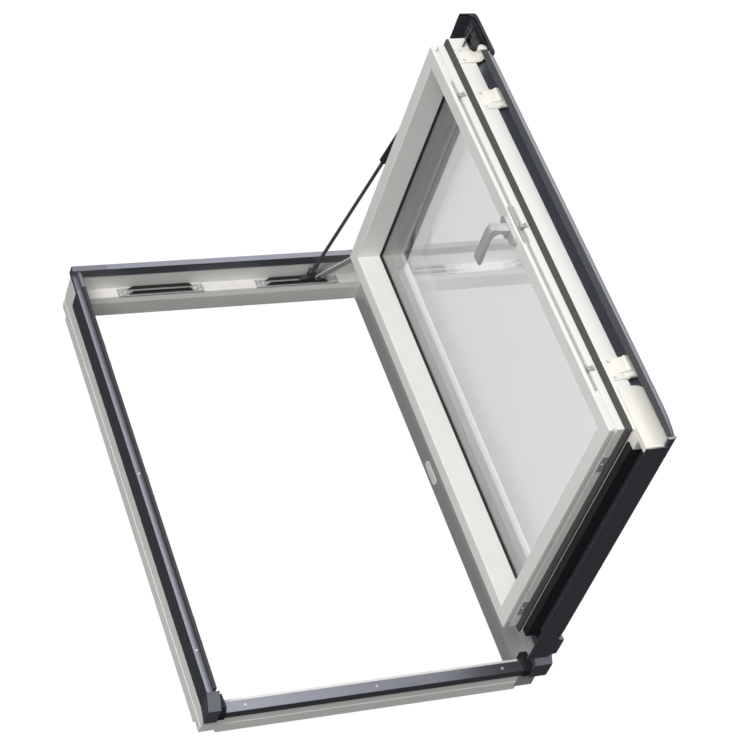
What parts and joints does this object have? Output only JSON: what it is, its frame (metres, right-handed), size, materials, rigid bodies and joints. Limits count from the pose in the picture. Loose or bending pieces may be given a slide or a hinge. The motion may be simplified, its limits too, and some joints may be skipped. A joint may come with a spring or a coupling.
{
  "type": "side-hung roof skylight",
  "caption": "Side-hung roof skylight: boxed frame with folded metal cladding and an open double-glazed sash on two side hinges, held by a gas strut on a slide rail.",
  "frame": {"origin": "middle of the roof opening, in the plane of the lining lip's lower edge, which is where the frame rests", "axes": "+X across the window towards the hinge side, +Y up the slope towards the head, +Z out through the roof"},
  "size_m": [0.6702, 1.0011, 0.7672],
  "materials": {
    "frame_white": "satin white coating",
    "sash_white": "satin white coating",
    "cladding_grey": "satin powder coat on folded aluminium",
    "cover_grey": "satin powder coat on folded aluminium",
    "corner_grey": "fine-grained moulded plastic",
    "black_plastic": "moulded plastic",
    "white_plastic": "smooth moulded plastic",
    "clip_plastic": "smooth moulded plastic",
    "zinc_metal": "zinc plated",
    "screw_metal": "zinc plated",
    "steel_pin": "ground",
    "hinge_metal": "zinc plated",
    "dark_metal": "dull grey",
    "black_metal": "satin black",
    "handle_metal": "satin silver lacquer",
    "clear_glass": "clear",
    "spacer_metal": "dull",
    "gasket_rubber": "matt extruded rubber",
    "glazing_rubber": "matt extruded rubber"
  },
  "bodies": {
    "frame": {"frame_sill": "frame_white", "frame_head": "frame_white", "frame_lock_side": "frame_white", "frame_hinge_side": "hinge_metal", "cladding_sill": "cladding_grey", "cladding_head": "cladding_grey", "cladding_lock_side": "cladding_grey", "cladding_hinge_side": "cladding_grey", "corner_cover_lock": "corner_grey", "corner_cover_hinge": "corner_grey", "corner_cap_lock": "corner_grey", "corner_cap_hinge": "corner_grey", "corner_blocks": "black_plastic", "cladding_screws": "screw_metal", "stay_rail_spare": "zinc_metal", "stay_rail": "zinc_metal", "rail_screws": "screw_metal", "strikers": "zinc_metal", "striker_screws": "screw_metal", "oval_plug": "white_plastic", "ledge_clip": "white_plastic", "frame_hinge_lower": "hinge_metal", "frame_hinge_upper": "hinge_metal", "hinge_pins": "steel_pin"},
    "sash": {"sash_sill": "sash_white", "sash_head": "sash_white", "sash_lock_side": "sash_white", "sash_hinge_side": "sash_white", "inner_pane": "clear_glass", "outer_pane": "clear_glass", "glass_spacer": "spacer_metal", "inner_glazing_gasket": "glazing_rubber", "outer_glazing_gasket": "glazing_rubber", "weather_gasket": "gasket_rubber", "side_cover_lock": "cover_grey", "side_cover_hinge": "cover_grey", "cover_end_lock": "corner_grey", "cover_end_hinge": "corner_grey", "hood": "cover_grey", "sill_cover": "cover_grey", "sill_insulation": "black_plastic", "cover_end_block": "clip_plastic", "cover_clip_lower": "clip_plastic", "cover_clip_upper": "clip_plastic", "hood_bracket": "clip_plastic", "hood_catch": "dark_metal", "clip_screws": "screw_metal", "keeper_plates": "zinc_metal", "sash_hinge_lower": "hinge_metal", "sash_hinge_upper": "hinge_metal", "stay_studs": "steel_pin", "handle_base": "handle_metal", "lock_gearbox": "dark_metal"},
    "handle": {"handle_lever": "handle_metal"},
    "lock": {"lock_bar": "zinc_metal"},
    "slider": {"stay_slider": "dark_metal"},
    "link": {"stay_link": "zinc_metal"},
    "cylinder": {"strut_cylinder": "black_metal"},
    "rod": {"strut_rod": "dark_metal"}
  },
  "joints": [
    {"name": "sash_swing", "type": "hinge", "parent": "frame", "child": "sash", "pos_m": [0.3168, 0, 0.1279], "axis": [0, -1, 0], "range_deg": [0, 89.4]},
    {"name": "handle_turn", "type": "hinge", "parent": "sash", "child": "handle", "pos_m": [0.22671, 0.005, 0.71854], "axis": [-0.9999, 0, -0.0105], "range_deg": [0, 90]},
    {"name": "lock_slide", "type": "slide", "parent": "sash", "child": "lock", "axis": [0, 1, 0], "range_m": [0, 0.0141]},
    {"name": "slider_slide", "type": "slide", "parent": "frame", "child": "slider", "axis": [-1, 0, 0], "range_m": [0, 0.03447]},
    {"name": "link_turn", "type": "hinge", "parent": "slider", "child": "link", "pos_m": [0.1915, 0.471, 0.078], "axis": [0, 1, 0], "range_deg": [0, 30.68]},
    {"name": "strut_turn", "type": "hinge", "parent": "sash", "child": "cylinder", "pos_m": [0.28931, 0.471, 0.66194], "axis": [0, -1, 0], "range_deg": [0, 8.44]},
    {"name": "rod_slide", "type": "slide", "parent": "cylinder", "child": "rod", "axis": [0.1903, 0, 0.9817], "range_m": [0, 0.22653]}
  ],
  "couplings": [
    {"joint": "lock_slide", "follows": "handle_turn", "m_per_rad": 0.008913},
    {"joint": "slider_slide", "follows": "sash_swing", "m_per_rad": 0.021961},
    {"joint": "link_turn", "follows": "sash_swing", "ratio": 0.34089},
    {"joint": "strut_turn", "follows": "sash_swing", "ratio": 0.092123},
    {"joint": "rod_slide", "follows": "sash_swing", "m_per_rad": 0.14505}
  ]
}
